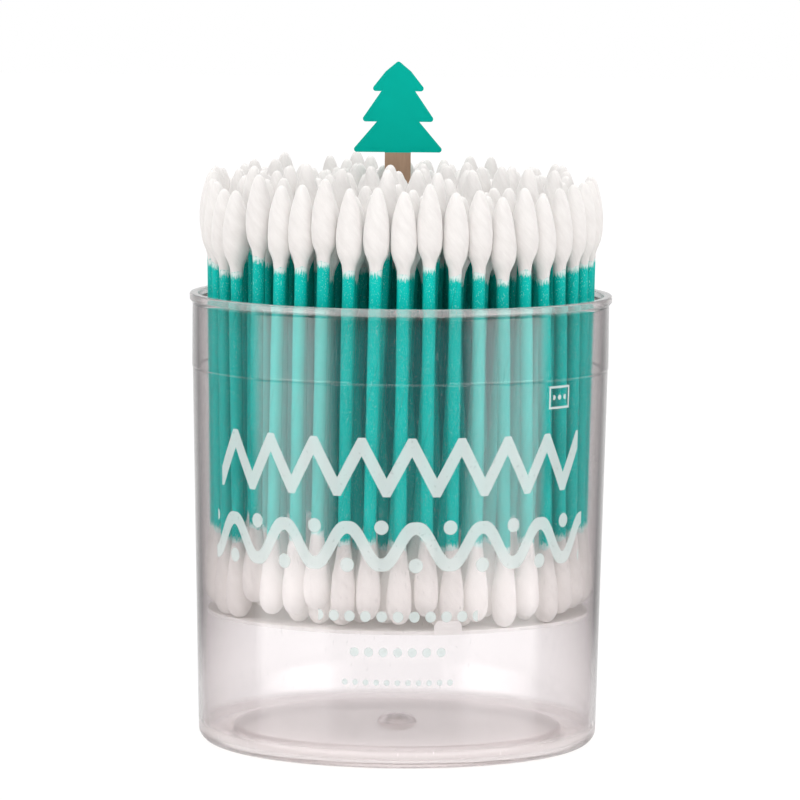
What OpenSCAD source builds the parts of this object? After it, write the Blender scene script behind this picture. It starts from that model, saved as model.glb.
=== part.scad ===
// Round clear plastic tub of two-ended cotton swabs. The swabs stand on a loose card disc inside
// the tub. A fir-tree tab on a card strip pulls the disc up, so that the swabs stand proud of the
// rim. The tub stands on the plane z = 0, its axis is the Z axis and its front faces -Y.

/* [Tub] */
// Height of the tub to the top of its rim
tub_h = 80; // [78:0.5:84]
// Outer diameter of the rim lip
rim_d = 75; // [75:0.5:84]
// How far the rim lip stands out from the wall
lip_out = 0.5; // [0.3:0.1:0.6]
// Height of the rim lip
lip_h = 1.25; // [1:0.05:2]
// Height of the upright band between the rim and the tapered wall
band_h = 13; // [8:0.5:18]
// Depth of the fine step at the lower edge of the band
band_step = 0.1; // [0.05:0.05:0.15]
// How far the wall draws in from the band to the foot
taper_in = 1.45; // [1:0.05:1.6]
// Thickness of the wall
wall_t = 1; // [0.8:0.05:1]
// Thickness of the floor
floor_t = 1.2; // [1:0.1:1.4]
// Radius of the rounded corner round the foot
corner_r = 2.5; // [2:0.1:3]
// How far the middle of the floor is raised off the ground
floor_rise = 2; // [1.2:0.1:2.4]
// Width of the low ring of the floor, from the side of the foot to the raised middle
floor_ring_w = 6.15; // [5.5:0.05:10]
// Diameter of the small dome in the middle of the floor
dome_d = 7; // [5:0.5:9]
// Height of the small dome above the floor
dome_h = 1.6; // [1:0.1:1.8]

/* [Swabs] */
// Length of a swab
swab_len = 75; // [70:0.5:80]
// Diameter of the paper stick
stick_d = 2.2; // [1.8:0.05:2.25]
// Largest diameter of the pointed tip
sharp_tip_d = 4.3; // [3.8:0.05:4.3]
// Length of the pointed tip
sharp_tip_len = 14.4; // [13:0.1:16]
// Largest diameter of the round tip
round_tip_d = 4.15; // [3.7:0.05:4.15]
// Length of the round tip
round_tip_len = 14; // [12:0.5:16]
// Largest height by which a swab in the outermost ring is held up off the disc
outer_lift = 3.2; // [0.4:0.1:3.6]
// Largest height by which a swab in the other rings is held up off the disc
inner_lift = 5; // [0.4:0.1:5.2]
// Mean sideways lean of a ring, as the shift of its tips
lean_shift = 2; // [0:0.1:2.6]

/* [Lifting disc and tab] */
// Height of the top of the disc above the ground, as pulled up
disc_top = 24; // [20:0.5:30]
// Thickness of the disc
disc_t = 0.6; // [0.5:0.1:1.2]
// Gap between the edge of the disc and the tapered wall at its lowest place
disc_gap = 0.7; // [0.5:0.05:1]
// Thickness of the card of the tab
card_t = 0.5; // [0.35:0.05:0.5]
// Width of the strip under the tree
strip_w = 4.6; // [3:0.1:5]
// Length of the end of the strip that is folded flat under the disc
tongue_len = 9; // [6:0.5:14]
// Width of the tree
tree_w = 16.7; // [12:0.1:20]
// Height of the tree
tree_h = 16.2; // [12:0.1:20]
// Radius of the rounded corners of the tree
tree_round = 0.5; // [0.2:0.1:0.8]
// Height of the tree's lower edge above the tips of swabs that stand on the disc
tree_clear = 6; // [5:0.5:10]
// Shift of the tab to the left of the axis
tab_shift = 0.8; // [0:0.1:1]

/* [Hidden] */
RINGS = 8;
RING_PARTS = ["sticks", "sharp_tips", "round_tips"];
$fn = 64;

// Wall radii, and the height of the tab's lowest place
wall_r = rim_d / 2 - lip_out;
foot_r = wall_r - band_step - taper_in;
band_z = tub_h - band_h;
lip_chamfer = lip_out;
rim_round = 0.3;
floor_top = floor_rise + floor_t;
lowest_disc_z = floor_top + dome_h + card_t;

// Radius of the inner face of the tapered wall at a height
function inner_r(z) = foot_r - wall_t + (wall_r - band_step - foot_r) * min(z, band_z) / band_z;

// Points of an arc about [x, y], from one angle to another, in so many steps
function arc(x, y, r, from, to, steps) =
    [for (i = [0:steps]) let (a = from + (to - from) * i / steps) [x + r * cos(a), y + r * sin(a)]];

// Half the outline of the tub's section, walked from the foot up the outside and down the inside
mid_r = foot_r - floor_ring_w;
step_r = 1.2;
in_corner_r = corner_r - wall_t;
dome_wall = 0.8;
dome_steps = 5;
foot_edge = 0.6;
floor_in_r = inner_r(floor_t + in_corner_r);
tub_outline = concat(
    [[mid_r - step_r, 0]],
    arc(foot_r - corner_r, corner_r, corner_r, -90, 0, 6),
    [
        [wall_r - band_step, band_z],
        [wall_r, band_z],
        [wall_r, tub_h - lip_h - lip_chamfer],
        [rim_d / 2, tub_h - lip_h],
    ],
    arc(rim_d / 2 - rim_round, tub_h - rim_round, rim_round, 0, 90, 3),
    arc(wall_r - wall_t + rim_round, tub_h - rim_round, rim_round, 90, 180, 3),
    [[inner_r(band_z), band_z]],
    arc(floor_in_r - in_corner_r, floor_t + in_corner_r, in_corner_r, 0, -90, 4),
    [
        [mid_r + step_r / 2, floor_t],
        [mid_r, floor_t + step_r / 2],
        [mid_r, floor_top - step_r / 2],
        [mid_r - step_r / 2, floor_top],
    ],
    dome_line(dome_d / 2, dome_h, floor_top, 1),
    dome_line(dome_d / 2 - dome_wall, dome_h, floor_rise, -1),
    [
        [mid_r - step_r - foot_edge, floor_rise],
        [mid_r - step_r, floor_rise - foot_edge],
    ]);

// Points of a low dome's half section, walked towards the axis or, with way = -1, away from it
function dome_line(r, h, z, way) =
    [for (i = [0:dome_steps]) let (up = 90 * i / dome_steps, a = way > 0 ? up : 90 - up)
        [r * cos(a), z + h * sin(a)]];

module tub() {
    color([0.90, 0.87, 0.89, 0.35])
        rotate_extrude($fn = 180)
            polygon(tub_outline);
}

// The disc of card, which carries the swabs, with a slot for the strip of the tab
disc_r = inner_r(lowest_disc_z) - disc_gap;
slot_gap = 0.1;

module lift_disc() {
    color([0.95, 0.94, 0.93])
        difference() {
            translate([0, 0, disc_top - disc_t])
                cylinder(r = disc_r, h = disc_t, $fn = 120);
            translate([-tab_shift, 0, disc_top - disc_t / 2])
                cube([strip_w + 2 * slot_gap, card_t + 2 * slot_gap, 2 * disc_t], center = true);
        }
}

// The tab: a fir tree of three tiers on a strip that passes through the disc and is folded
// flat to the back under it. It is one piece of card.
tree_z = disc_top + swab_len + tree_clear;
tiers = 3;
tier_h = tree_h / tiers;
tier_overlap = 0.45;
tier_narrower = 0.2;
top_slope = 0.35;
fold_z = disc_top - disc_t;

// Right half of the tree from its lower edge to its top, as points [x, z]
function tier_edge(i) = tree_w / 2 * (1 - tier_narrower * i);
function tree_side() = concat(
    [for (i = [0:tiers - 1]) each [
        [tier_edge(i), i * tier_h],
        [tier_edge(i) * tier_overlap, tier_h * (i + 1 - (i == tiers - 1 ? top_slope : 0))],
    ]],
    [[0, tree_h]]);

module tree_outline() {
    side = tree_side();
    offset(r = tree_round)
        offset(delta = -tree_round)
            polygon(concat(side, [for (i = [len(side) - 2:-1:0]) [-side[i][0], side[i][1]]]));
}

module strip_section() {
    polygon(concat(
        [[-card_t / 2, tree_z + card_t], [-card_t / 2, fold_z]],
        arc(card_t / 2, fold_z, card_t, 180, 270, 4),
        [[tongue_len, fold_z - card_t], [tongue_len, fold_z], [card_t / 2, fold_z]],
        [[card_t / 2, tree_z + card_t]]));
}

module pull_tab() {
    color([0.0, 0.70, 0.61])
        translate([-tab_shift, 0, 0]) {
            translate([-strip_w / 2, 0, 0])
                rotate([90, 0, 90])
                    linear_extrude(strip_w)
                        strip_section();
            translate([0, card_t / 2, tree_z])
                rotate([90, 0, 0])
                    linear_extrude(card_t)
                        tree_outline();
        }
}

// The swabs stand in rings. A ring's tips and its feet each share out the loose space round the
// ring in their own seeded way, so that its swabs lean to both sides without touching.
tip_air = 0.05;
wall_air = 0.15;
outer_foot_r = inner_r(lowest_disc_z) - wall_air - round_tip_d / 2;
outer_head_r = inner_r(band_z) - wall_air - sharp_tip_d / 2;
strip_air = 0.2;
inmost_r = card_t / 2 + strip_air + sharp_tip_d / 2;
loose_swabs = 4;
foot_seed = 310;
head_seed = 640;
lift_seed = 90;

// Degrees from one ring to the next, for its first swab and for the side where its feet are loose
first_step = 37;
loose_step = 100;

// Radius of a ring at the feet and at the tips of its swabs
function ring_r(k, outer) = outer + (inmost_r - outer) * (k - 1) / (RINGS - 1);
function foot_ring_r(k) = ring_r(k, outer_foot_r);
function head_ring_r(k) = ring_r(k, outer_head_r);

// Angle that one tip takes up on a ring
function tip_angle(r, d) = 2 * asin((d + tip_air) / (2 * r));

// How many swabs stand in a ring
function ring_count(k) =
    k == RINGS ? 2 : let (
        at_foot = 360 / tip_angle(foot_ring_r(k), round_tip_d),
        at_head = 360 / tip_angle(head_ring_r(k), sharp_tip_d),
        share = foot_ring_r(k) / outer_foot_r)
    floor(min(at_foot, at_head) - loose_swabs * pow(share, 4));

// Running sum of a list, which starts at 0
function running(v) = [for (i = 0, s = 0; i < len(v); s = s + v[i], i = i + 1) s];
function total(v) = [for (x = v) 1] * v;

// Angles of a ring's swabs about their mean, with the loose space shared out by a seed, and more of
// it on the sides that an angle gives: two opposite sides of the outer rings, one of the others
loose_share = 0.9;
outer_rings = 2;
function ring_angles(k, r, d, seed, loose_side) =
    let (
        n = ring_count(k),
        sides = k > outer_rings ? 1 : 2,
        least = tip_angle(r, d),
        chance = rands(0, 1, n, seed),
        weights = [for (i = [0:n - 1])
            pow(chance[i], 2) * (1 + loose_share * cos(sides * 360 * i / n - loose_side))],
        spare = (360 - n * least) / total(weights),
        angles = running([for (w = weights) least + w * spare]))
    [for (a = angles) a - total(angles) / n];

// The two inmost swabs stand before and behind the strip, and don't lean. In the other rings the
// heads are loose where the feet are close together.
function foot_angles(k) = k == RINGS ? [-90, 90]
    : ring_angles(k, foot_ring_r(k), round_tip_d, foot_seed + k, loose_step * k);
function head_angles(k) = k == RINGS ? [-90, 90]
    : ring_angles(k, head_ring_r(k), sharp_tip_d, head_seed + k, loose_step * k + 180);
function ring_turn(k) = k == 1 || k == RINGS ? 0
    : (k % 2 == 0 ? 1 : -1) * lean_shift / head_ring_r(k) * 180 / PI;

// How far each swab of a ring is held up by its neighbours. The lowest fifth stand on the disc.
standing_share = 0.2;
function ring_lifts(k) =
    let (most = k == 1 ? outer_lift : inner_lift)
    [for (x = rands(0, most, ring_count(k), lift_seed + k)) x < most * standing_share ? 0 : x];

// Puts a part of a swab, drawn upright from z = 0, at each place in a ring
module in_ring(k) {
    feet = foot_angles(k);
    heads = head_angles(k);
    lifts = ring_lifts(k);
    first = first_step * k;
    for (i = [0:ring_count(k) - 1]) {
        foot_a = k == RINGS ? feet[i] : first + feet[i];
        head_a = k == RINGS ? heads[i] : first + heads[i] + ring_turn(k);
        foot = foot_ring_r(k) * [cos(foot_a), sin(foot_a)];
        head = head_ring_r(k) * [cos(head_a), sin(head_a)];
        lean = head - foot;
        translate([foot[0], foot[1], disc_top + lifts[i]])
            rotate([0, atan2(norm(lean), swab_len), atan2(lean[1], lean[0])])
                children();
    }
}

// The stick ends inside the cotton, so far in from the end of the swab
bore_gap = 0.02;
bore_r = stick_d / 2 + bore_gap;
round_in = 3.2;
sharp_in = 6;

// Outlines of the tips from the foot up, as fractions of the tip's length and its largest radius
ROUND_TIP = [[0, 0], [0.01, 0.35], [0.04, 0.65], [0.1, 0.9], [0.2, 1], [0.35, 0.97], [0.55, 0.86],
    [0.78, 0.69], [1, 0.57]];
SHARP_TIP = [[0, 0.55], [0.06, 0.57], [0.12, 0.66], [0.19, 0.83], [0.27, 0.95], [0.38, 1],
    [0.52, 0.96], [0.68, 0.81], [0.82, 0.6], [0.92, 0.41], [0.98, 0.22], [1, 0]];

function tip_line(shape, d, len, z) = [for (p = shape) [p[1] * d / 2, z + p[0] * len]];

// The paper stick, whose ends are inside the cotton
module stick() {
    translate([0, 0, round_in])
        cylinder(d = stick_d, h = swab_len - round_in - sharp_in, $fn = 24);
}

// The round tip at the foot, wound over the end of the stick
module round_tip() {
    rotate_extrude($fn = 32)
        polygon(concat(
            tip_line(ROUND_TIP, round_tip_d, round_tip_len, 0),
            [[bore_r, round_tip_len], [bore_r, round_in - bore_gap], [0, round_in - bore_gap]]));
}

// The pointed tip at the head, wound over the other end
module sharp_tip() {
    from = swab_len - sharp_tip_len;
    rotate_extrude($fn = 32)
        polygon(concat(
            [[0, swab_len - sharp_in + bore_gap], [bore_r, swab_len - sharp_in + bore_gap]],
            [[bore_r, from]],
            tip_line(SHARP_TIP, sharp_tip_d, sharp_tip_len, from)));
}

module ring_sticks(k) {
    color([0.0, 0.66, 0.58]) in_ring(k) stick();
}

module ring_sharp_tips(k) {
    color([0.94, 0.93, 0.92]) in_ring(k) sharp_tip();
}

module ring_round_tips(k) {
    color([0.94, 0.93, 0.92]) in_ring(k) round_tip();
}

tub();
lift_disc();
pull_tab();
for (k = [1:RINGS]) {
    ring_sticks(k);
    ring_sharp_tips(k);
    ring_round_tips(k);
}
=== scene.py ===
import math

import bpy
import numpy as np
from mathutils import Matrix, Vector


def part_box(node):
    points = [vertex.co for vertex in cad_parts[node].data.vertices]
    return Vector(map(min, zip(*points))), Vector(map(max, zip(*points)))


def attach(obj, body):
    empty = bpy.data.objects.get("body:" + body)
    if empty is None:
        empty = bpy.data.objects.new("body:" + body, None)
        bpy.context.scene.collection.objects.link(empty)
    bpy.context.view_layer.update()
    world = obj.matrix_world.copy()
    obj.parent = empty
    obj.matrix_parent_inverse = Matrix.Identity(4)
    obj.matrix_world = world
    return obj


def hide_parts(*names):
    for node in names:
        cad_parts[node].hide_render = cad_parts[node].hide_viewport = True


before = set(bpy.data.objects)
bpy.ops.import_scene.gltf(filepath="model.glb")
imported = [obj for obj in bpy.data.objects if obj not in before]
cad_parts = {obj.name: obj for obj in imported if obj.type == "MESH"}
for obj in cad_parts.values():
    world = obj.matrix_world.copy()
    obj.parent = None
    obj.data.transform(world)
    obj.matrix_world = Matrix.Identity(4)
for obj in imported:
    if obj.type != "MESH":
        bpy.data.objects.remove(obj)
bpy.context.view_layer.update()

# Clear tub
# One injection-moulded cup of slightly cloudy plastic, 1 mm thick, with a rim lip, an upright band
# under it, a drafted wall, a rounded foot and a raised middle of the floor with a small dome where
# the mould was filled. A pale design is printed on the outside of the wall.

mm = 0.001
rim_r, _, tub_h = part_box("tub")[1]
lip_out = 0.5 * mm
lip_h = 1.25 * mm
band_h = 13 * mm
band_step = 0.1 * mm
taper_in = 1.45 * mm
wall_t = 1.0 * mm
floor_t = 1.2 * mm
floor_rise = 2.0 * mm
floor_ring_w = 6.15 * mm
corner_r = 2.5 * mm
dome_r = 3.5 * mm
dome_h = 1.6 * mm
dome_t = 0.8 * mm
wall_r = rim_r - lip_out
band_z = tub_h - band_h
under_band_r = wall_r - band_step
foot_r = under_band_r - taper_in
floor_mid_r = foot_r - floor_ring_w


def wall_outer_r(z):
    """Outer radius of the drafted wall, which grows evenly from the foot to the band."""
    return foot_r + taper_in * z / band_z


def arc(r, z, radius, start, end, count, height=None):
    """Points (r + radius cos a, z + height sin a) for count angles a from start to end, in degrees.
    The height is the radius where none is given."""
    a = np.radians(np.linspace(start, end, count))
    return np.column_stack([r + radius * np.cos(a), z + (height or radius) * np.sin(a)])


def held(outline, near):
    """The outline with a point added at the distance near from both ends of each long straight,
    so that the shading of a rounded edge doesn't spread over the flat beside it."""
    points = [outline[0]]
    for start, end in zip(outline[:-1], outline[1:]):
        step = (end - start) * near / max(np.hypot(*(end - start)), near)
        if np.hypot(*(end - start)) > 4 * near:
            points += [start + step, end - step]
        points.append(end)
    return np.array(points)


def spun(name, outline, sides):
    """Surface of revolution: outline point (r, z) turned to angle 2 pi i / sides, for every i. The
    first and last points lie on the axis and become one pole each."""
    turn = 2 * np.pi * np.arange(sides) / sides
    r, z = outline[1:-1].T
    rings = np.stack([np.outer(r, np.cos(turn)), np.outer(r, np.sin(turn)),
                      np.repeat(z[:, None], sides, axis=1)], axis=-1).reshape(-1, 3)
    poles = np.array([[0, 0, outline[0, 1]], [0, 0, outline[-1, 1]]])
    first, last = len(rings), len(rings) + 1
    here = np.arange(sides)
    after = (here + 1) % sides
    row = sides * np.arange(len(r) - 1)[:, None]
    quads = np.stack([row + here, row + after, row + sides + after, row + sides + here], axis=-1)
    top = sides * (len(r) - 1)
    faces = quads.reshape(-1, 4).tolist()
    faces += np.column_stack([np.full(sides, first), after, here]).tolist()
    faces += np.column_stack([top + here, top + after, np.full(sides, last)]).tolist()
    mesh = bpy.data.meshes.new(name)
    mesh.from_pydata(np.vstack([rings, poles]).tolist(), [], faces)
    return mesh


def added(name, mesh, crease=40):
    """Puts a finished mesh in the scene, smooth but for edges sharper than crease degrees."""
    mesh.shade_smooth()
    mesh.set_sharp_from_angle(angle=math.radians(crease))
    piece = bpy.data.objects.new(name, mesh)
    bpy.context.collection.objects.link(piece)
    return piece


in_corner_r = corner_r - wall_t
floor_top = floor_rise + floor_t
in_foot_r = wall_outer_r(floor_t + in_corner_r) - wall_t
step_r = 1.2 * mm
foot_edge = 0.9 * mm
ring_edge = 0.25 * mm
floor_edge = 0.8 * mm
rim_round = 0.3 * mm
lip_edge = 0.15 * mm
recess_r = floor_mid_r - step_r
tub_sides = 256
tub_outline = held(np.vstack([
    arc(0, floor_rise, dome_r - dome_t, 90, 0, 9, dome_h),
    arc(recess_r - foot_edge, floor_rise - foot_edge, foot_edge, 90, 0, 7),
    arc(recess_r + ring_edge, ring_edge, ring_edge, 180, 270, 5),
    arc(foot_r - corner_r, corner_r, corner_r, -90, 0, 13),
    [[under_band_r, band_z - band_step], [wall_r, band_z]],
    [[wall_r, tub_h - lip_h - lip_out]],
    arc(rim_r - lip_edge, tub_h - lip_h + lip_edge, lip_edge, -45, 0, 4),
    arc(rim_r - rim_round, tub_h - rim_round, rim_round, 0, 90, 7),
    arc(wall_r - wall_t + rim_round, tub_h - rim_round, rim_round, 90, 180, 7),
    [[under_band_r - wall_t, band_z]],
    arc(in_foot_r - in_corner_r, floor_t + in_corner_r, in_corner_r, 0, -90, 9),
    arc(floor_mid_r + floor_edge, floor_t + floor_edge, floor_edge, 270, 180, 6),
    arc(floor_mid_r - floor_edge, floor_top - floor_edge, floor_edge, 0, 90, 6),
    arc(0, floor_top, dome_r, 0, 90, 9, dome_h),
]), near=0.3 * mm)
tub_outline[[0, -1], 0] = 0
tub = added("clear_tub", spun("clear_tub", tub_outline, tub_sides), crease=50)


class Value:
    """A shader socket. The operators below add the Math node that they name."""

    def __init__(self, shader, socket):
        self.shader = shader
        self.socket = socket

    def math(self, operation, *others):
        return self.shader.math(operation, self, *others)

    def __add__(self, other):
        return self.math("ADD", other)

    __radd__ = __add__

    def __sub__(self, other):
        return self.math("SUBTRACT", other)

    def __rsub__(self, other):
        return self.shader.math("SUBTRACT", other, self)

    def __mul__(self, other):
        return self.math("MULTIPLY", other)

    __rmul__ = __mul__

    def __truediv__(self, other):
        return self.math("DIVIDE", other)

    def __neg__(self):
        return self.math("MULTIPLY", -1.0)

    def __abs__(self):
        return self.math("ABSOLUTE")

    def least(self, other):
        return self.math("MINIMUM", other)

    def most(self, other):
        return self.math("MAXIMUM", other)

    def rise(self, start, end):
        """0 below start and 1 above end, with a smooth step between."""
        return self.shader.node("MapRange", {"Value": self, "From Min": start, "From Max": end},
                                interpolation_type="SMOOTHSTEP")

    def fall(self, start, end):
        """1 below start and 0 above end, with a smooth step between."""
        return 1.0 - self.rise(start, end)


class Shader:
    """The node tree of a new material, or of the world. The other methods add nodes by node(), and
    surface() adds the output."""

    def __init__(self, name, holders=bpy.data.materials):
        self.material = holders.new(name)
        self.material.use_nodes = True
        self.tree = self.material.node_tree
        self.tree.nodes.clear()
        if holders == bpy.data.materials:
            self.material.cycles.emission_sampling = "NONE"

    def node(self, kind, values=None, out=0, **settings):
        made = self.tree.nodes.new("ShaderNode" + kind)
        for key, setting in settings.items():
            setattr(made, key, setting)
        for name, value in (values or {}).items():
            socket = made.inputs[name]
            if isinstance(value, Value):
                self.tree.links.new(value.socket, socket)
            elif isinstance(value, tuple) and len(socket.default_value) > len(value):
                socket.default_value = (*value, 1.0)
            else:
                socket.default_value = value
        return Value(self, made.outputs[out])

    def math(self, operation, *values):
        values = {i: float(v) if not isinstance(v, Value) else v for i, v in enumerate(values)}
        return self.node("Math", values, operation=operation)

    def mixed(self, share, one, other):
        """The colour one where share is 0 and other where it is 1."""
        return self.node("Mix", {0: share, 6: one, 7: other}, out=2, data_type="RGBA")

    def parts(self, vector):
        return [self.node("SeparateXYZ", {0: vector}, out=i) for i in range(3)]

    def place(self):
        """Object coordinates in millimetres, as three values and the vector."""
        where = self.node("TexCoord", out="Object")
        scaled = self.node("VectorMath", {0: where, 3: 1 / mm}, operation="SCALE")
        return (*self.parts(scaled), scaled)

    def swab_place(self):
        """The place on a swab, as the cosine and sine of the angle round it and the distance up it
        in millimetres, and the swab's own tone."""
        wind = self.node("Attribute", out="Vector", attribute_name="wind")
        tone = self.node("Attribute", out="Fac", attribute_name="tone")
        return (*self.parts(wind), tone)

    def seen(self):
        """1 for rays from the camera, straight or through the clear plastic."""
        return self.node("LightPath", out="Is Camera Ray").most(
            self.node("LightPath", out="Is Transmission Ray"))

    def noise(self, vector, scale, detail=2.0, roughness=0.5):
        return self.node("TexNoise", {"Vector": vector, "Scale": scale, "Detail": detail,
                                      "Roughness": roughness})

    def stretched(self, vector, scales):
        return self.node("VectorMath", {0: vector, 1: scales}, operation="MULTIPLY")

    def surface(self, shader, volume=None, kind="Material"):
        output = self.tree.nodes.new("ShaderNodeOutput" + kind)
        self.tree.links.new(shader.socket, output.inputs["Surface"])
        if volume:
            self.tree.links.new(volume.socket, output.inputs["Volume"])
        return self.material


def clear_plastic():
    """Slightly cloudy clear plastic with a plain pale print: a zigzag, a wave, a small framed mark
    and rows of dots, placed by the distance round the tub and the height."""
    s = Shader("clear_plastic")
    x, y, z, where = s.place()
    across = s.math("ARCTAN2", x, -y) * (wall_r / mm)
    radius = s.math("SQRT", x * x + y * y)
    outside = (radius - (foot_r - 0.5 * wall_t) / mm - z * (taper_in / band_z)).rise(-0.1, 0.1)

    def inked(gap):
        """Mask of a shape from how far outside its edge a point is, with a slightly soft edge."""
        return gap.fall(-soft_edge, soft_edge)

    def bounded(mask, middle, reach):
        return mask * inked(abs(across - middle) - reach)

    def dots(row_z, pitch, size, shift, reach):
        cell = s.math("PINGPONG", across + shift, pitch / 2)
        far = s.math("SQRT", cell * cell + (z - row_z) * (z - row_z))
        return bounded(inked(far - size), 0.0, reach)

    soft_edge = 0.07
    zig_z, zig_pitch, zig_h, zig_stroke = 52.7, 8.8, 4.1, 1.05
    slope = 4 * zig_h / zig_pitch
    line = s.math("PINGPONG", across + zig_pitch / 4, zig_pitch / 2) * slope + (zig_z - zig_h)
    zigzag = inked(abs(z - line) * (1 / math.hypot(1, slope)) - zig_stroke)
    zigzag = bounded(zigzag * inked(abs(z - zig_z) - zig_h - 1.0), 0.0, 4.25 * zig_pitch)
    wave_z, wave_pitch, wave_h, wave_stroke = 39.0, 12.2, 3.2, 1.1
    turn = across * (2 * math.pi / wave_pitch)
    slant = s.math("COSINE", turn) * (wave_h * 2 * math.pi / wave_pitch)
    off = abs(z - wave_z - s.math("SINE", turn) * wave_h) / s.math("SQRT", slant * slant + 1.0)
    wave = bounded(inked(off - wave_stroke), 0.0, 3.25 * wave_pitch)
    dot_up, dot_r, dot_reach = 3.3, 1.25, 39.0
    low_dots = dots(wave_z - dot_up, wave_pitch, dot_r, -wave_pitch / 4, dot_reach)
    high_dots = dots(wave_z + dot_up, wave_pitch, dot_r, wave_pitch / 4, dot_reach)
    mark_x, mark_z, mark_half_w, mark_half_h, mark_line = 31.5, 64.0, 2.7, 2.0, 0.4
    in_mark = (abs(across - mark_x) - mark_half_w).most(abs(z - mark_z) - mark_half_h)
    frame_line = inked(in_mark) - inked(in_mark + mark_line)
    mark_dots = inked(in_mark + 1.0) * dots(mark_z, 1.5, 0.45, 0.0, 60.0)
    print_mask = zigzag.most(wave).most(low_dots).most(high_dots).most(frame_line).most(mark_dots)
    for row_z, pitch, size, reach in ((26.8, 2.9, 0.95, 14.5), (20.6, 2.6, 0.8, 9.1),
                                      (15.3, 1.9, 0.5, 10.45)):
        print_mask = print_mask.most(dots(row_z, pitch, size, 0.0, reach))
    worn = s.noise(where, 1.3, 4.0).rise(0.25, 0.4)
    ink_share = print_mask * outside * (0.68 + 0.12 * worn)

    cloud = s.noise(where, 0.12, 3.0)
    specks = s.noise(s.stretched(where, (2.6, 2.6, 0.8)), 1.0, 2.0).rise(0.66, 0.74)
    # Milkier plastic in the lip, in the foot and floor, and at the step under the band
    lip_z = (tub_h - lip_h) / mm
    lip = z.rise(lip_z - 0.1, lip_z + 0.2)
    bottom = z.fall(2.9, 4.6) * (0.4 + 0.6 * z.rise(1.3, 2.2))
    step = abs(z - band_z / mm).fall(0.06, 0.14)
    thick = (0.16 * lip).most(0.288 * bottom).most(0.032 * step)
    haze_share = 0.002 + 0.006 * cloud + 0.13 * specks + thick
    ripple = s.noise(s.stretched(where, (0.25, 0.25, 0.06)), 1.0, 1.0)
    bump = s.node("Bump", {"Strength": 0.12, "Distance": 0.05 * mm, "Height": ripple})
    # Painted shade: the colour is darker where the light goes a long way in the plastic, at grazing
    # angles and at the foot
    corner = z.fall(1.8, 3.0) * radius.rise(32.6, 34.0)
    painted_long_path_shade = s.node("LayerWeight", {"Blend": 0.5}, out=1).most(0.6 * corner)
    clear = s.node("BsdfPrincipled", {
        "Base Color": s.mixed(painted_long_path_shade, (1.0, 0.98, 0.985), (0.74, 0.69, 0.69)),
        "Roughness": 0.03 + 0.05 * cloud, "IOR": 1.47, "Transmission Weight": 1.0, "Normal": bump})
    haze = s.node("BsdfPrincipled", {
        "Base Color": (0.96, 0.92, 0.915), "Roughness": 0.5, "Specular IOR Level": 0.3})
    ink = s.node("BsdfPrincipled", {
        "Base Color": s.mixed(worn, (0.55, 0.63, 0.62), (0.61, 0.69, 0.68)),
        "Roughness": 0.45, "Specular IOR Level": 0.35})
    cloudy = s.node("MixShader", {0: haze_share, 1: clear, 2: haze})
    printed = s.node("MixShader", {0: ink_share, 1: cloudy, 2: ink})
    passed = s.node("BsdfTransparent", {"Color": (0.93, 0.92, 0.915)})
    shadow = s.node("LightPath", out="Is Shadow Ray")
    whole = s.node("MixShader", {0: shadow, 1: printed, 2: passed})
    depth = s.node("VolumeAbsorption", {"Color": (0.6, 0.45, 0.46), "Density": 22.0})
    return s.surface(whole, depth)


tub.data.materials.append(clear_plastic())
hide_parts("tub")
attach(tub, "tub")

# Lifting disc
# A die-cut round of smooth white card, 0.6 mm thick, that lies loose in the tub and carries all the
# swabs. Its cut edge shows the greyer layers of the board.

(_, _, disc_low), (disc_r, _, disc_top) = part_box("lift_disc")


def white_card():
    """White board: faint fibres on the face, and layers seen on the cut edge."""
    s = Shader("white_card")
    x, y, _, where = s.place()
    radius = s.math("SQRT", x * x + y * y)
    edge = radius.rise(disc_r / mm - 0.12, disc_r / mm - 0.04)
    layers = s.noise(s.stretched(where, (0.3, 0.3, 14.0)), 1.0, 3.0)
    fibres = s.noise(where, 3.0, 5.0, 0.6)
    face = s.mixed(fibres, (0.83, 0.82, 0.81), (0.90, 0.89, 0.88))
    cut = s.mixed(layers.rise(0.3, 0.7), (0.80, 0.79, 0.78), (0.92, 0.91, 0.90))
    bump = s.node("Bump", {"Strength": 0.35, "Distance": 0.05 * mm,
                           "Height": fibres + edge * layers})
    board = s.node("BsdfPrincipled", {
        "Base Color": s.mixed(edge, face, cut), "Roughness": 0.62 + 0.2 * edge, "Normal": bump})
    return s.surface(board)


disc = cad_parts["lift_disc"]
card = white_card()
disc.data.materials.clear()
disc.data.materials.append(card)

# Disc flap
# A small tongue of the same card that stands up at the disc's rim, a little right of the front,
# between the feet of two swabs and the wall. A low foot joins it to the disc's edge.

flap_in = 34.12 * mm
flap_out = 34.34 * mm
flap_h = 1.9 * mm
flap_cut = 0.8 * mm
flap_angle, flap_half_angle = 14.5, 4.1
foot_in = disc_r - 0.1 * mm
foot_air = 0.05 * mm
reach = np.linspace(-1, 1, 9)
turn = np.radians(flap_angle + flap_half_angle * reach)
flap_top = disc_top + flap_h - flap_cut * np.clip(4 * np.abs(reach) - 3, 0, 1)
foot_low, foot_top = 0 * turn + disc_low + foot_air, 0 * turn + disc_top - foot_air
r = np.array([foot_in, flap_out, flap_out, flap_in, flap_in, foot_in])
z = np.stack([foot_low, foot_low, flap_top, flap_top, foot_top, foot_top], axis=1)
points = np.stack([np.outer(np.sin(turn), r), -np.outer(np.cos(turn), r), z], axis=-1)
faces = [(6 * i + (j + 1) % 6, 6 * i + j, 6 * i + 6 + j, 6 * i + 6 + (j + 1) % 6)
         for i in range(len(turn) - 1) for j in range(6)]
ends = [(0, 1, 4, 5), (1, 2, 3, 4)]
ends += [tuple(6 * (len(turn) - 1) + j for j in reversed(end)) for end in ends]
flap_mesh = bpy.data.meshes.new("disc_flap")
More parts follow.
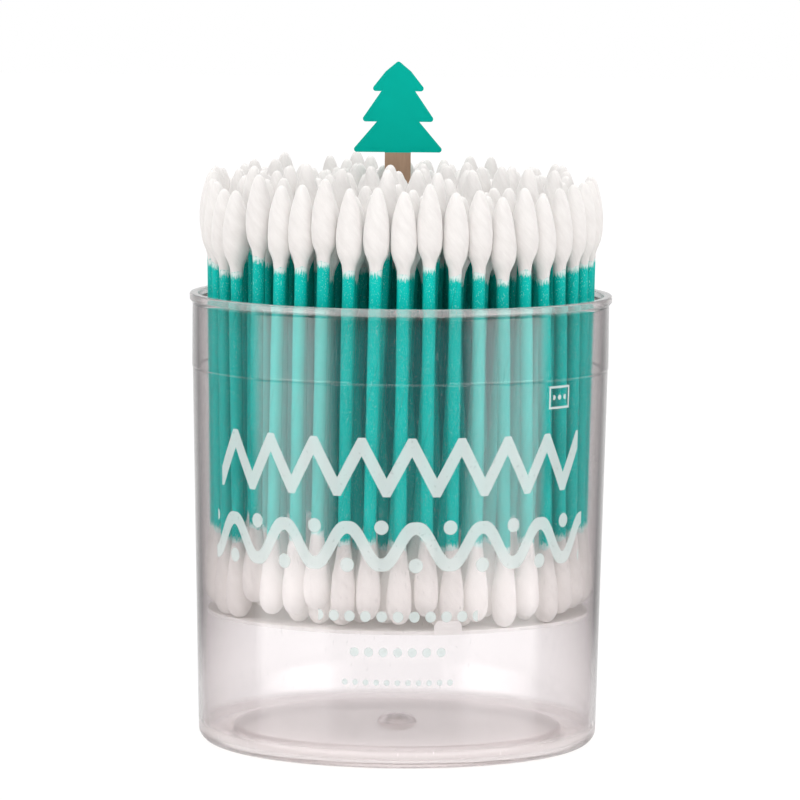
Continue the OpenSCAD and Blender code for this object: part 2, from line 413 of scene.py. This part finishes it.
flap_mesh.from_pydata(points.reshape(-1, 3).tolist(), [], faces + ends)
flap = added("disc_flap", flap_mesh, crease=30)
flap.data.materials.append(card)
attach(flap, "lifter")

# Pull tab
# One die-cut card: a green fir tree on a brown strip that goes down between the swabs, through the
# slot in the disc, and is folded flat under it. The print stops at the cut edge of pale board.

tree_h = 16.2 * mm
tree_low_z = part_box("pull_tab")[1][2] - tree_h


def printed_card():
    """Printed card: satin green above the tree's lower edge and brown below it, with pale board on
    the cut edges, which are the faces that don't look to the front or back."""
    s = Shader("printed_card")
    _, _, z, where = s.place()
    facing = s.node("SeparateXYZ", {0: s.node("NewGeometry", out="True Normal")}, out=1)
    tree = z.rise(tree_low_z / mm + 0.05, tree_low_z / mm + 0.1)
    cut = abs(facing).fall(0.5, 0.6) * z.rise(24.5, 25.0)
    grain = s.noise(where, 4.0, 4.0, 0.6)
    soft = s.noise(where, 0.25, 2.0)
    green = s.mixed(soft, (0.0, 0.37, 0.295), (0.0, 0.41, 0.33))
    brown = s.mixed(s.noise(s.stretched(where, (2.2, 2.2, 0.35)), 1.0, 4.0),
                    (0.31, 0.20, 0.135), (0.45, 0.31, 0.215))
    board = s.mixed(grain, (0.50, 0.52, 0.50), (0.78, 0.80, 0.78))
    colour = s.mixed(cut, s.mixed(tree, brown, green), board)
    bump = s.node("Bump", {"Strength": 0.25, "Distance": 0.03 * mm, "Height": grain})
    card = s.node("BsdfPrincipled", {
        "Base Color": colour, "Roughness": 0.5 + 0.2 * grain, "Specular IOR Level": 0.06,
        "Normal": bump})
    return s.surface(card)


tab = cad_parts["pull_tab"]
tab.data.materials.clear()
tab.data.materials.append(printed_card())

# Paper sticks
# Each swab's stick is a strip of green paper rolled tight, 2.2 mm thick, with the strip's edge as a
# fine seam that winds up it. Both its ends are inside the cotton.

rings = range(1, 9)
swab_len = 75 * mm
stick_r = 1.1 * mm
round_in = 3.2 * mm
sharp_in = 6 * mm
sharp_len = 14.2 * mm
round_len = 13.1 * mm
stray_low = round_len / mm + 0.3
stray_high = (swab_len - sharp_len) / mm - 0.3
# The two outer rings, which are seen best, have more sides
near_rings = 2
near_sides, far_sides = 20, 12


def swabs_of(node):
    """Foot and direction of every swab in a ring. The triangles of a stick share corners, so each
    stick is one island of them. Its direction is the longest axis of its points."""
    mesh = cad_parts[node].data
    flat = np.empty(len(mesh.vertices) * 3)
    mesh.vertices.foreach_get("co", flat)
    corners = np.empty(len(mesh.loops), dtype=np.int64)
    mesh.loops.foreach_get("vertex_index", corners)
    points, same = np.unique(flat.reshape(-1, 3).round(7), axis=0, return_inverse=True)
    triangles = same.reshape(-1)[corners].reshape(-1, 3)
    island = np.arange(len(points))
    while True:
        lowest = island[triangles].min(axis=1)
        joined = island.copy()
        for corner in triangles.T:
            np.minimum.at(joined, corner, lowest)
        if (joined == island).all():
            break
        island = joined
    feet, ways = [], []
    for label in np.unique(island):
        own = points[island == label]
        middle = (own.max(axis=0) + own.min(axis=0)) / 2
        way = np.linalg.svd(own - own.mean(axis=0), full_matrices=False)[2][0]
        way = way * np.sign(way[2])
        reach = (own - middle) @ way
        low = own[reach < reach.min() + 0.1 * mm].mean(axis=0)
        feet.append(low - round_in * way)
        ways.append(way)
    order = np.argsort(np.arctan2([f[0] for f in feet], [-f[1] for f in feet]))
    return np.array(feet)[order], np.array(ways)[order]


def wound(name, feet, ways, radius, along, sides, pole=0):
    """Surfaces turned about many axes at once: the point at angle t and distance a up a swab is
    foot + a way + r (across cos t + over sin t). radius and along are arrays of swab, row and
    angle. With pole, a distance up the swab, each closes there in one point."""
    count, rows, _ = radius.shape
    over = np.cross(ways, [0.0, 1.0, 0.0])
    over /= np.linalg.norm(over, axis=1)[:, None]
    across = np.cross(over, ways)
    turn = 2 * np.pi * np.arange(sides) / sides
    out = (across[:, None, None] * np.cos(turn)[:, None]
           + over[:, None, None] * np.sin(turn)[:, None])
    points = feet[:, None, None] + ways[:, None, None] * along[..., None] + out * radius[..., None]
    side = np.stack([np.cos(turn)[None, None] + 0 * radius, np.sin(turn)[None, None] + 0 * radius,
                     along / mm], axis=-1)
    each = rows * sides
    here = np.arange(sides)
    after = (here + 1) % sides
    row = sides * np.arange(rows - 1)[:, None]
    quads = np.stack([row + here, row + after, row + sides + after, row + sides + here], axis=-1)
    first = (each + bool(pole)) * np.arange(count)[:, None, None]
    faces = (first + quads.reshape(-1, 4)).reshape(-1, 4).tolist()
    points = points.reshape(count, each, 3)
    side = side.reshape(count, each, 3)
    if pole:
        tip = feet + ways * pole
        points = np.concatenate([points, tip[:, None]], axis=1)
        centre = np.broadcast_to([0.0, 0.0, pole / mm], (count, 1, 3))
        side = np.concatenate([side, centre], axis=1)
        top = each - sides
        fan = np.column_stack([top + here, top + after, np.full(sides, each)])
        if along[0, -1, 0] > pole:
            fan = fan[:, ::-1]
        faces += (first + fan).reshape(-1, 3).tolist()
    mesh = bpy.data.meshes.new(name)
    mesh.from_pydata(points.reshape(-1, 3).tolist(), [], faces)
    mesh.attributes.new("wind", "FLOAT_VECTOR", "POINT").data.foreach_set("vector", side.ravel())
    # A tone from 0 to 1 for each swab, which depends only on where its foot stands
    tone = np.repeat(np.modf(np.sin(feet[:, 0] * 7919 + feet[:, 1] * 6101) * 43758.5)[0] % 1.0,
                     points.shape[1])
    mesh.attributes.new("tone", "FLOAT", "POINT").data.foreach_set("value", tone)
    return mesh


def green_paper():
    """Rolled green paper: a helical seam of the strip's edge, fibres along the stick, a tone of its
    own for each stick, painted glints, and stray cotton where the tips begin. The small glow below
    the rim stands in for the light that the cloudy wall scatters between the sticks."""
    s = Shader("green_paper")
    height = s.place()[2]
    c, n, along, tone = s.swab_place()
    angle = s.math("ARCTAN2", n, c)
    lag = s.math("SINE", 0.5 * (angle - along * 0.22 + tone * 6.28))
    seam = (1.0 - abs(lag)).rise(0.955, 0.985)
    own = s.node("CombineXYZ", {0: c * 1.1 + tone * 40.0, 1: n * 1.1, 2: along})
    fibres = s.noise(s.stretched(own, (5.0, 5.0, 0.7)), 1.0, 4.0, 0.6)
    blotch = s.noise(s.stretched(own, (0.9, 0.9, 0.16)), 1.0, 2.0)
    # Painted glints: pale specks in the colour stand in for small highlights on the crinkled paper
    painted_glints = s.noise(s.stretched(own, (6.0, 6.0, 3.0)), 1.0, 1.0).rise(0.62, 0.72)
    deep = s.mixed(tone, (0.0, 0.38, 0.33), (0.0, 0.46, 0.40))
    light = s.mixed(tone, (0.0, 0.49, 0.43), (0.0, 0.57, 0.505))
    paper = s.mixed(0.65 * fibres + 0.35 * blotch, deep, light)
    paper = s.mixed(seam * 0.45, paper, (0.0, 0.22, 0.17))
    paper = s.mixed(painted_glints * 0.45, paper, (0.40, 0.80, 0.74))
    ragged = s.noise(s.stretched(own, (4.0, 4.0, 1.2)), 1.0, 3.0) * 2.4
    stray = (ragged - abs(along - stray_high).least(abs(along - stray_low))).rise(0.1, 1.2)
    colour = s.mixed(stray * 0.8, paper, (0.86, 0.86, 0.85))
    bump = s.node("Bump", {"Strength": 0.5, "Distance": 0.05 * mm,
                           "Height": 0.5 * fibres - 0.8 * seam + 0.7 * stray})
    stick = s.node("BsdfPrincipled", {
        "Base Color": colour, "Roughness": 0.42 + 0.16 * fibres, "Specular IOR Level": 0.12,
        "Emission Color": s.mixed(height.fall(72.0, 79.0), (0.0, 0.0, 0.0), (0.0, 0.9, 1.0)),
        "Emission Strength": 0.04, "Normal": bump})
    return s.surface(stick)


swabs = {k: swabs_of(f"ring_{k}_sticks") for k in rings}
paper = green_paper()
for k in rings:
    feet, ways = swabs[k]
    sides = near_sides if k <= near_rings else far_sides
    rows = np.linspace(round_in, swab_len - sharp_in, 4)
    along = np.broadcast_to(rows[None, :, None], (len(feet), len(rows), sides))
    radius = np.full(along.shape, stick_r)
    name = f"rolled_sticks_{k}"
    stick = added(name, wound(name, feet, ways, radius, along, sides))
    stick.data.materials.append(paper)
    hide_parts(f"ring_{k}_sticks")
    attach(stick, "lifter")

# Cotton tips
# Cotton wool wound on both ends of each stick and pressed to shape: at the top a bud that narrows
# to a point above a thin neck, at the foot a round bud. The wound fibres leave the surface a
# little uneven, and the neck ends in a thin ragged skirt on the paper.

sharp_r = 2.38 * mm
round_r = 2.22 * mm
neck_r = stick_r + 0.03 * mm
skirt = 0.1 * mm
# Radius of each tip, as a share of its largest, at shares of its length from its neck
sharp_shape = np.array([(0, 0.5), (0.04, 0.51), (0.08, 0.56), (0.14, 0.7), (0.2, 0.86),
                        (0.27, 0.95), (0.36, 1), (0.48, 0.99), (0.6, 0.92), (0.71, 0.81),
                        (0.81, 0.66), (0.9, 0.49), (0.96, 0.33), (0.99, 0.18)])
round_shape = np.array([(0, 0.57), (0.08, 0.6), (0.16, 0.65), (0.28, 0.74), (0.42, 0.87),
                        (0.56, 0.96), (0.7, 1), (0.79, 0.99), (0.86, 0.92), (0.92, 0.77),
                        (0.965, 0.55), (0.99, 0.3)])


def cotton_radius(shares, shape, feet, sides, size):
    """The bud's radius at each share of its length, made uneven by slow waves round and along it,
    with a girth and phases that differ from swab to swab."""
    phase = 2 * np.pi * np.modf(np.abs(np.sin(feet[:, 0] * 5081 + feet[:, 1] * 9973)) * 1379)[0]
    turn = 2 * np.pi * np.arange(sides) / sides
    p, t, a = phase[:, None, None], turn[None, None, :], shares[None, :, None]
    waves = (0.022 * np.sin(2 * t + p + 4 * a) + 0.014 * np.sin(3 * t - 2 * p + 9 * a)
             + 0.012 * np.sin(5 * t + 3 * p - 14 * a))
    girth = 0.975 + 0.025 * np.sin(3 * p)
    bent = np.clip(a + 0.025 * np.sin(2 * p) * np.sin(np.pi * a), 0, 1)
    return size * girth * np.interp(bent, *shape.T) * (1 + waves)


def cotton():
    """Wound cotton wool: fine fibres that run round and up the bud, soft hollows between them that
    the colour darkens as painted shade, and the fuzzy sheen of loose fibre ends. The glow low in
    the tub is the same stand-in."""
    s = Shader("cotton")
    height = s.place()[2]
    c, n, along, tone = s.swab_place()
    angle = along * 0.35
    sway, lift = s.math("COSINE", angle), s.math("SINE", angle)
    own = s.node("CombineXYZ", {0: (c * sway - n * lift) * 2.0 + tone * 50.0,
                                1: (c * lift + n * sway) * 2.0, 2: along})
    fibres = s.noise(s.stretched(own, (4.5, 4.5, 0.9)), 1.0, 5.0, 0.62)
    tufts = s.noise(s.stretched(own, (0.9, 0.9, 0.4)), 1.0, 3.0)
    # Painted shade: the colour is darker where the fibres and tufts are low, in the hollows of the
    # bump
    deep = s.mixed(tone, (0.62, 0.595, 0.58), (0.66, 0.64, 0.625))
    colour = s.mixed(0.45 * fibres + 0.75 * tufts, deep, (0.82, 0.805, 0.79))
    bump = s.node("Bump", {"Strength": 0.55, "Distance": 0.12 * mm,
                           "Height": 0.6 * fibres + 0.8 * tufts})
    wool = s.node("BsdfPrincipled", {
        "Base Color": colour, "Roughness": 0.88 + 0.1 * fibres, "Specular IOR Level": 0.15,
        "Sheen Weight": 0.35, "Sheen Roughness": 0.5,
        "Emission Color": s.mixed(height.fall(30.0, 40.0), (0.0, 0.0, 0.0), (1.0, 0.96, 0.93)),
        "Emission Strength": 0.13, "Normal": bump})
    return s.surface(wool)


wool = cotton()
for k in rings:
    feet, ways = swabs[k]
    near = k <= near_rings
    sides = near_sides if near else far_sides
    turn = 2 * np.pi * np.arange(sides) / sides
    phase = (feet[:, 0] * 3000 + feet[:, 1] * 1700)[:, None]
    ragged = 0.2 * mm * np.sin(2 * turn + phase) + 0.08 * mm * np.sin(5 * turn - 2 * phase)
    for end, length, size, shape in (("sharp", sharp_len, sharp_r, sharp_shape),
                                     ("round", round_len, round_r, round_shape)):
        shares = shape[:, 0]
        if near:
            shares = np.sort(np.concatenate([shares, (shares[1:-3] + shares[2:-2]) / 2]))
        radius = np.maximum(cotton_radius(shares, shape, feet, sides, size),
                            neck_r * (shares < 0.5)[None, :, None])
        if end == "sharp":
            along = swab_len - length * (1 - shares[None, :, None]) + 0 * radius
            along[:, 0] += ragged - skirt
            pole = swab_len
        else:
            along = length * (1 - shares[None, :, None]) + 0 * radius
            along[:, 0] += ragged + skirt
            # Not quite 0, which wound() takes as no pole
            pole = 0.001 * mm
        radius[:, 0] = neck_r
        name = f"cotton_{end}_tips_{k}"
        tip = added(name, wound(name, feet, ways, radius, along, sides, pole), crease=180)
        tip.data.materials.append(wool)
        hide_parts(f"ring_{k}_{end}_tips")
        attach(tip, "lifter")

# Floor, light and camera
# A white sweep, two low soft lamps at the sides, a large one above the camera, and a long lens a
# metre away and a little above the rim. The sweep glows where it is seen, a little less and a
# warmer white under the tub as painted shade, and it is dimmed away from the tub where it is seen
# after a reflection.

stage_white = Shader("stage_white")
x, y, _, _ = stage_white.place()
away = stage_white.math("SQRT", x * x + y * y)
clear = away.rise(foot_r / mm - 5, foot_r / mm + 1)
share = 0.88 + 0.075 * clear
mirrored = stage_white.node("LightPath", out="Glossy Depth").least(1.0) * away.rise(60.0, 200.0)
mirrored = mirrored * (y / away).fall(0.85, 1.1)
ground = stage_white.node("BsdfDiffuse", {"Color": (0.9, 0.87, 0.86)})
# Painted shade: the glow is warmer and darker under the tub than the white around it
floor_glow_shaded_under_tub = stage_white.mixed(clear, (1.0, 0.96, 0.94), (1.0, 1.0, 1.0))
glow = stage_white.node("Emission", {
    "Color": stage_white.mixed(mirrored * 0.78, floor_glow_shaded_under_tub, (0.0, 0.0, 0.0)), "Strength": 1.03})
floor_mesh = bpy.data.meshes.new("floor")
floor_half = 3.0
floor_corners = [(-floor_half, -floor_half, 0), (floor_half, -floor_half, 0),
                 (floor_half, floor_half, 0), (-floor_half, floor_half, 0)]
floor_mesh.from_pydata(floor_corners, [], [(0, 1, 2, 3)])
floor_mesh.materials.append(stage_white.surface(
    stage_white.node("MixShader", {0: stage_white.seen() * share, 1: ground, 2: glow})))
floor = bpy.data.objects.new("floor", floor_mesh)
bpy.context.collection.objects.link(floor)
floor.visible_glossy = False

# The world is white behind the tub. Reflections show that white, the white overhead and underfoot,
# and a dim room with the two lit boxes at the sides. Its own light on the scene is softer.
sky = Shader("studio", bpy.data.worlds)
bpy.context.scene.world = sky.material
way = sky.node("NewGeometry", out="Position")
side, deep, height = sky.parts(way)
through = sky.seen()
mirrored = sky.node("LightPath", out="Is Glossy Ray").most(
    sky.node("LightPath", out="Glossy Depth")).least(1.0)
lit = height.rise(0.25, 0.7).most((-height).rise(0.15, 0.5)).most(deep.rise(0.78, 1.06))
room = 0.08 + 0.9 * lit
turned = sky.math("ARCTAN2", abs(side), -deep)
slope = height / sky.math("SQRT", side * side + deep * deep)
box_light = 4.4
boxes = (turned.rise(0.58, 0.78) * turned.fall(1.40, 1.60)
         * slope.rise(-0.4, -0.3) * slope.fall(0.15, 0.3))
room = room.most(box_light * boxes * (0.1 + 0.9 * slope.rise(-0.195, -0.165)))
light = 0.18 + 1.6 * height.rise(0.4, 1.0) + 1.1 * height.rise(0.1, 0.5) * deep.rise(0.0, 0.9)
plain = 1.0 - mirrored
level = mirrored * room + plain * (through + (1.0 - through) * light)
background = sky.node("Background", {"Color": level, "Strength": 1.0})
sky.surface(background, kind="World")


def soft_lamp(name, azimuth, elevation, distance, width, height, radiance):
    """A flat lamp that looks at the tub's middle. Its power is radiance times pi times its area."""
    lamp = bpy.data.lights.new(name, "AREA")
    lamp.shape = "RECTANGLE"
    lamp.size, lamp.size_y = width, height
    lamp.energy = radiance * math.pi * width * height
    lamp.color = (1.0, 0.99, 0.985)
    holder = bpy.data.objects.new(name, lamp)
    holder.visible_glossy = False
    bpy.context.collection.objects.link(holder)
    a, e = math.radians(azimuth), math.radians(elevation)
    holder.matrix_world = (Matrix.Translation((0, 0, 0.06)) @ Matrix.Rotation(a, 4, "Z")
                           @ Matrix.Rotation(math.pi / 2 - e, 4, "X")
                           @ Matrix.Translation((0, 0, distance)))


for name, azimuth in (("lamp_left", -52), ("lamp_right", 52)):
    soft_lamp(name, azimuth, elevation=-6, distance=0.9, width=0.84, height=0.29, radiance=3.1)
soft_lamp("lamp_front", 0, elevation=60, distance=1.2, width=1.3, height=0.8, radiance=2.3)

lens = bpy.data.cameras.new("camera")
lens.sensor_width = 36.0
focal_px, picture_px = 5645.8, 800
lens.lens = focal_px * lens.sensor_width / picture_px
lens.clip_start, lens.clip_end = 0.05, 20
camera = bpy.data.objects.new("camera", lens)
bpy.context.collection.objects.link(camera)
camera_back, camera_up = 1.0, 0.1577
camera_pitch, camera_roll = 5.53, 0.53
camera.matrix_world = (Matrix.Translation((0, -camera_back, camera_up))
                       @ Matrix.Rotation(math.radians(90 - camera_pitch), 4, "X")
                       @ Matrix.Rotation(math.radians(camera_roll), 4, "Z"))
bpy.context.scene.camera = camera
bpy.context.scene.view_settings.view_transform = "Standard"
bpy.context.scene.cycles.max_bounces = 12
bpy.context.scene.cycles.transmission_bounces = 12
bpy.context.scene.cycles.glossy_bounces = 8
bpy.context.scene.cycles.diffuse_bounces = 6
